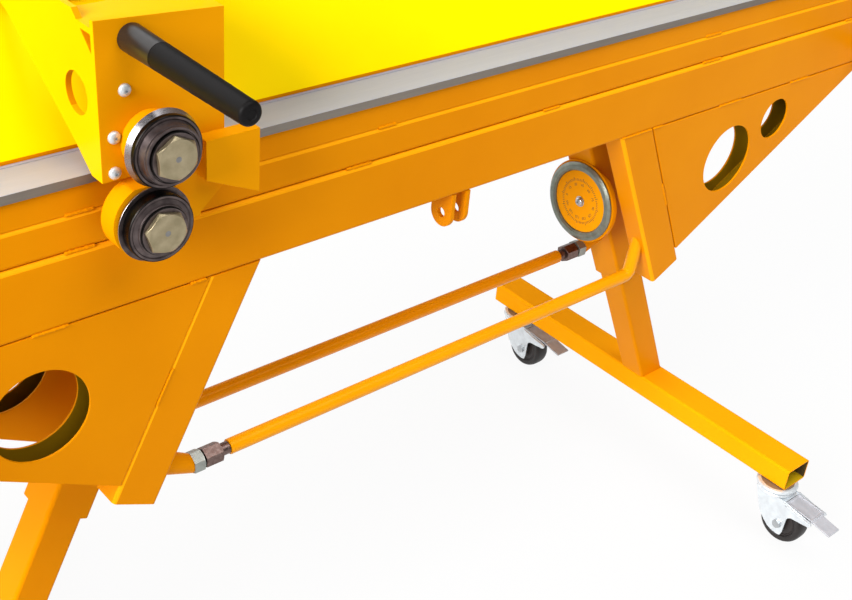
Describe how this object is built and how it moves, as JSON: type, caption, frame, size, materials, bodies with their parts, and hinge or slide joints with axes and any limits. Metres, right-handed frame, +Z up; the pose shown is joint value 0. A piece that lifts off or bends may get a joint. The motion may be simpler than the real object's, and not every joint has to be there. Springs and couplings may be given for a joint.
{
  "type": "sheet metal brake",
  "caption": "Manual sheet metal brake: a bending beam hinged in front of a bed, a lever-clamped upper beam with a roller cutter on its rail, and splayed legs on braked casters.",
  "frame": {"origin": "on the floor, below the middle of the machine's outline", "axes": "+X along the beams to the right seen from the front, +Y to the back, +Z up"},
  "size_m": [2.252, 0.812, 1.0653],
  "materials": {
    "orange_paint": "semi-gloss orange-yellow powder coat",
    "yellow_paint": "glossy yellow powder coat",
    "bare_steel": "ground bare steel",
    "zinc_steel": "zinc plated",
    "black_steel": "blackened steel",
    "black_rubber": "matte",
    "black_plastic": "matte"
  },
  "bodies": {
    "frame": {"bed_beam": "orange_paint", "bed_blade": "bare_steel", "frame_gussets": "orange_paint", "left_leg_socket": "orange_paint", "right_leg_socket": "orange_paint", "left_leg": "orange_paint", "right_leg": "orange_paint", "left_foot": "orange_paint", "right_foot": "orange_paint", "rear_tie_rod": "orange_paint", "rear_tie_fittings": "zinc_steel", "left_cheek": "orange_paint", "right_cheek": "orange_paint", "frame_pins": "bare_steel", "dial_bracket": "orange_paint", "caster_stems": "zinc_steel"},
    "bending_beam": {"lower_tube": "orange_paint", "middle_tube": "orange_paint", "upper_bar": "orange_paint", "bending_blade": "bare_steel", "left_strut": "orange_paint", "right_strut": "orange_paint", "left_gusset": "orange_paint", "right_gusset": "orange_paint", "front_tie_rod": "orange_paint", "front_tie_fittings": "zinc_steel", "centre_lug": "orange_paint", "bend_end_plates": "orange_paint", "bending_handles": "orange_paint", "handle_grips": "black_rubber"},
    "clamp": {"clamp_box": "yellow_paint", "clamp_nose_bar": "orange_paint", "cutter_rail": "yellow_paint", "clamp_arms": "orange_paint"},
    "left_lever": {"left_clamp_lever": "orange_paint"},
    "right_lever": {"right_clamp_lever": "orange_paint"},
    "cutter_slider": {"rail_liner": "black_plastic"},
    "cutter_sleeve": {"swing_sleeve": "zinc_steel"},
    "cutter": {"cutter_frame": "yellow_paint", "cutter_guide": "yellow_paint", "cutter_screws": "zinc_steel", "cutter_grip": "black_rubber"},
    "upper_knife": {"upper_knife": "bare_steel", "upper_hub": "black_steel"},
    "lower_knife": {"lower_knife": "bare_steel", "lower_hub": "black_steel"},
    "dial": {"dial_face": "yellow_paint", "dial_rim": "zinc_steel"},
    "front_left_fork": {"front_left_fork": "zinc_steel"},
    "front_left_wheel": {"front_left_wheel": "black_rubber"},
    "front_left_pedal": {"front_left_pedal": "zinc_steel"},
    "front_right_fork": {"front_right_fork": "zinc_steel"},
    "front_right_wheel": {"front_right_wheel": "black_rubber"},
    "front_right_pedal": {"front_right_pedal": "zinc_steel"},
    "rear_left_fork": {"rear_left_fork": "zinc_steel"},
    "rear_left_wheel": {"rear_left_wheel": "black_rubber"},
    "rear_left_pedal": {"rear_left_pedal": "zinc_steel"},
    "rear_right_fork": {"rear_right_fork": "zinc_steel"},
    "rear_right_wheel": {"rear_right_wheel": "black_rubber"},
    "rear_right_pedal": {"rear_right_pedal": "zinc_steel"}
  },
  "joints": [
    {"name": "bend", "type": "hinge", "parent": "frame", "child": "bending_beam", "pos_m": [0, -0.026, 0.9], "axis": [-1, 0, 0], "range_deg": [0, 135]},
    {"name": "clamp_swing", "type": "hinge", "parent": "frame", "child": "clamp", "pos_m": [0, 0.174, 0.705], "axis": [-1, 0, 0], "range_deg": [0, 8.5]},
    {"name": "left_lever_turn", "type": "hinge", "parent": "frame", "child": "left_lever", "pos_m": [0, 0.15199, 0.88268], "axis": [-1, 0, 0], "range_deg": [0, 90.01]},
    {"name": "right_lever_turn", "type": "hinge", "parent": "frame", "child": "right_lever", "pos_m": [0, 0.15199, 0.88268], "axis": [-1, 0, 0], "range_deg": [0, 90.01]},
    {"name": "cutter_slide", "type": "slide", "parent": "clamp", "child": "cutter_slider", "axis": [1, 0, 0], "range_m": [-0.55, 1.39]},
    {"name": "cutter_hang", "type": "hinge", "parent": "cutter_slider", "child": "cutter_sleeve", "pos_m": [0, 0.109, 1.03], "axis": [-1, 0, 0], "range_deg": [0, 12.76]},
    {"name": "cutter_tilt", "type": "hinge", "parent": "cutter_sleeve", "child": "cutter", "pos_m": [0, 0.109, 1.03], "axis": [-1, 0, 0], "range_deg": [0, 135]},
    {"name": "upper_knife_turn", "type": "hinge", "parent": "cutter", "child": "upper_knife", "pos_m": [-0.45098, -0.133, 0.93768], "axis": [0, 1, 0], "continuous": true},
    {"name": "lower_knife_turn", "type": "hinge", "parent": "cutter", "child": "lower_knife", "pos_m": [-0.46102, -0.127, 0.86033], "axis": [0, 1, 0], "continuous": true},
    {"name": "dial_turn", "type": "hinge", "parent": "frame", "child": "dial", "pos_m": [0.355, 0.027, 0.579], "axis": [1, 0, 0], "continuous": true},
    {"name": "front_left_swivel", "type": "hinge", "parent": "frame", "child": "front_left_fork", "pos_m": [-0.6292, -0.283, 0.0917], "axis": [0, 0, 1], "continuous": true},
    {"name": "front_left_roll", "type": "hinge", "parent": "front_left_fork", "child": "front_left_wheel", "pos_m": [-0.6292, -0.315, 0.04], "axis": [1, 0, 0], "continuous": true},
    {"name": "front_left_brake", "type": "hinge", "parent": "front_left_fork", "child": "front_left_pedal", "pos_m": [-0.6292, -0.321, 0.0837], "axis": [-1, 0, 0], "range_deg": [0, 14]},
    {"name": "front_right_swivel", "type": "hinge", "parent": "frame", "child": "front_right_fork", "pos_m": [0.6292, -0.283, 0.0917], "axis": [0, 0, 1], "continuous": true},
    {"name": "front_right_roll", "type": "hinge", "parent": "front_right_fork", "child": "front_right_wheel", "pos_m": [0.6292, -0.315, 0.04], "axis": [1, 0, 0], "continuous": true},
    {"name": "front_right_brake", "type": "hinge", "parent": "front_right_fork", "child": "front_right_pedal", "pos_m": [0.6292, -0.321, 0.0837], "axis": [-1, 0, 0], "range_deg": [0, 14]},
    {"name": "rear_left_swivel", "type": "hinge", "parent": "frame", "child": "rear_left_fork", "pos_m": [-0.6292, 0.346, 0.0917], "axis": [0, 0, 1], "continuous": true},
    {"name": "rear_left_roll", "type": "hinge", "parent": "rear_left_fork", "child": "rear_left_wheel", "pos_m": [-0.6292, 0.314, 0.04], "axis": [1, 0, 0], "continuous": true},
    {"name": "rear_left_brake", "type": "hinge", "parent": "rear_left_fork", "child": "rear_left_pedal", "pos_m": [-0.6292, 0.308, 0.0837], "axis": [-1, 0, 0], "range_deg": [0, 14]},
    {"name": "rear_right_swivel", "type": "hinge", "parent": "frame", "child": "rear_right_fork", "pos_m": [0.6292, 0.346, 0.0917], "axis": [0, 0, 1], "continuous": true},
    {"name": "rear_right_roll", "type": "hinge", "parent": "rear_right_fork", "child": "rear_right_wheel", "pos_m": [0.6292, 0.314, 0.04], "axis": [1, 0, 0], "continuous": true},
    {"name": "rear_right_brake", "type": "hinge", "parent": "rear_right_fork", "child": "rear_right_pedal", "pos_m": [0.6292, 0.308, 0.0837], "axis": [-1, 0, 0], "range_deg": [0, 14]}
  ],
  "couplings": [
    {"joint": "left_lever_turn", "follows": "clamp_swing", "ratio": 10.588},
    {"joint": "right_lever_turn", "follows": "clamp_swing", "ratio": 10.588},
    {"joint": "cutter_hang", "follows": "clamp_swing", "ratio": 1.5},
    {"joint": "cutter_tilt", "follows": "bend", "ratio": 1},
    {"joint": "lower_knife_turn", "follows": "upper_knife_turn", "ratio": -1}
  ]
}
